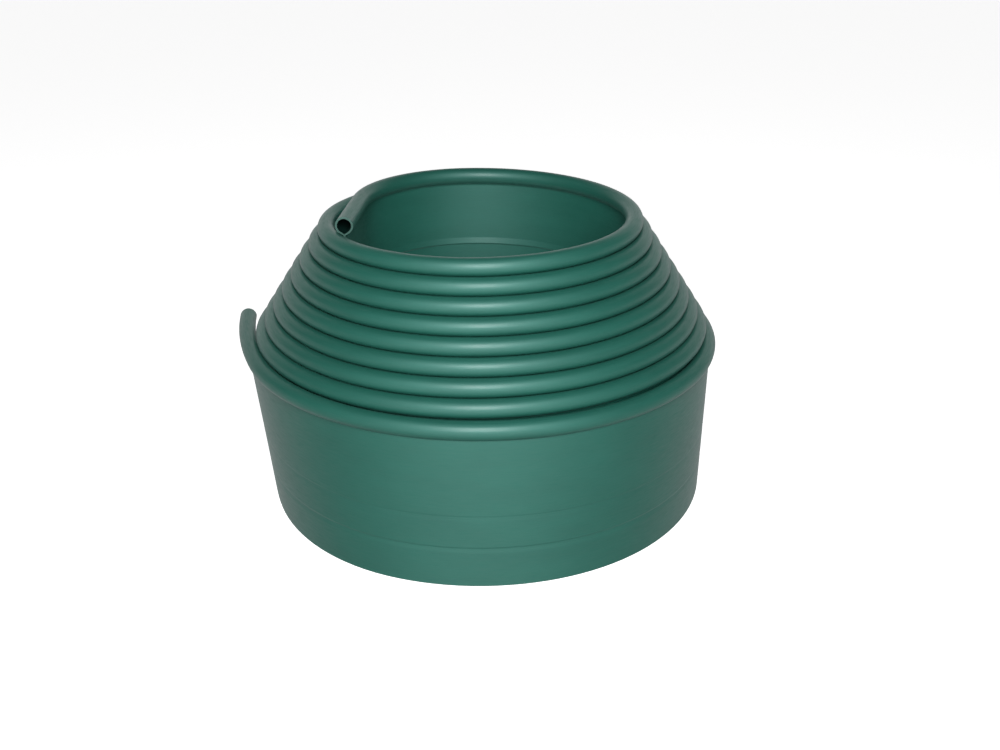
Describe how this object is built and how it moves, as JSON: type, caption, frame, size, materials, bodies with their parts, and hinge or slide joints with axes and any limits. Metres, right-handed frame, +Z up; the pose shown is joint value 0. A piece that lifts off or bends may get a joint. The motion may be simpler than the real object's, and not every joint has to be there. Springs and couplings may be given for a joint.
{
  "type": "lawn edging roll",
  "caption": "Roll of green plastic lawn edging: a hollow round bead on a thin ribbed web, wound as a stepped cone that stands on its lower edge, with springy free ends.",
  "frame": {"origin": "on the floor, under the middle of the roll's bounding box", "axes": "+Z up along the coil's axis, the narrow end of the stepped coil on top; both free ends are on the -X side, and the strip runs down and out clockwise as seen from above"},
  "size_m": [0.4558, 0.4356, 0.2683],
  "materials": {
    "edging_green": "satin green polyethylene with faint lines along the extrusion and fine handling scuffs"
  },
  "bodies": {
    "outer_turn": {"bead_turn_9": "edging_green", "web_turn_9": "edging_green"},
    "turn_8": {"bead_turn_8": "edging_green", "web_turn_8": "edging_green"},
    "turn_7": {"bead_turn_7": "edging_green", "web_turn_7": "edging_green"},
    "turn_6": {"bead_turn_6": "edging_green", "web_turn_6": "edging_green"},
    "turn_5": {"bead_turn_5": "edging_green", "web_turn_5": "edging_green"},
    "turn_4": {"bead_turn_4": "edging_green", "web_turn_4": "edging_green"},
    "turn_3": {"bead_turn_3": "edging_green", "web_turn_3": "edging_green"},
    "turn_2": {"bead_turn_2": "edging_green", "web_turn_2": "edging_green"},
    "turn_1": {"bead_turn_1": "edging_green", "web_turn_1": "edging_green"},
    "inner_end": {"bead_inner_end": "edging_green", "web_inner_end": "edging_green"},
    "outer_end": {"bead_outer_end": "edging_green", "web_outer_end": "edging_green"}
  },
  "joints": [
    {"name": "rise_turn_8", "type": "slide", "parent": "outer_turn", "child": "turn_8", "axis": [0, 0, 1], "range_m": [0, 0.01]},
    {"name": "rise_turn_7", "type": "slide", "parent": "turn_8", "child": "turn_7", "axis": [0, 0, 1], "range_m": [0, 0.01]},
    {"name": "rise_turn_6", "type": "slide", "parent": "turn_7", "child": "turn_6", "axis": [0, 0, 1], "range_m": [0, 0.01]},
    {"name": "rise_turn_5", "type": "slide", "parent": "turn_6", "child": "turn_5", "axis": [0, 0, 1], "range_m": [0, 0.01]},
    {"name": "rise_turn_4", "type": "slide", "parent": "turn_5", "child": "turn_4", "axis": [0, 0, 1], "range_m": [0, 0.01]},
    {"name": "rise_turn_3", "type": "slide", "parent": "turn_4", "child": "turn_3", "axis": [0, 0, 1], "range_m": [0, 0.01]},
    {"name": "rise_turn_2", "type": "slide", "parent": "turn_3", "child": "turn_2", "axis": [0, 0, 1], "range_m": [0, 0.01]},
    {"name": "rise_turn_1", "type": "slide", "parent": "turn_2", "child": "turn_1", "axis": [0, 0, 1], "range_m": [0, 0.01]},
    {"name": "inner_end_flex", "type": "hinge", "parent": "turn_1", "child": "inner_end", "pos_m": [-0.01405, 0.12865, 0.25831], "axis": [0, 0, 1], "range_deg": [0, 35], "stiffness_Nm_per_rad": 1},
    {"name": "outer_end_flex", "type": "hinge", "parent": "outer_turn", "child": "outer_end", "pos_m": [-0.19565, -0.08227, 0.142], "axis": [0, 0, 1], "range_deg": [0, 35], "stiffness_Nm_per_rad": 1}
  ],
  "couplings": [
    {"joint": "rise_turn_7", "follows": "rise_turn_8", "ratio": 1},
    {"joint": "rise_turn_6", "follows": "rise_turn_8", "ratio": 1},
    {"joint": "rise_turn_5", "follows": "rise_turn_8", "ratio": 1},
    {"joint": "rise_turn_4", "follows": "rise_turn_8", "ratio": 1},
    {"joint": "rise_turn_3", "follows": "rise_turn_8", "ratio": 1},
    {"joint": "rise_turn_2", "follows": "rise_turn_8", "ratio": 1},
    {"joint": "rise_turn_1", "follows": "rise_turn_8", "ratio": 1}
  ]
}
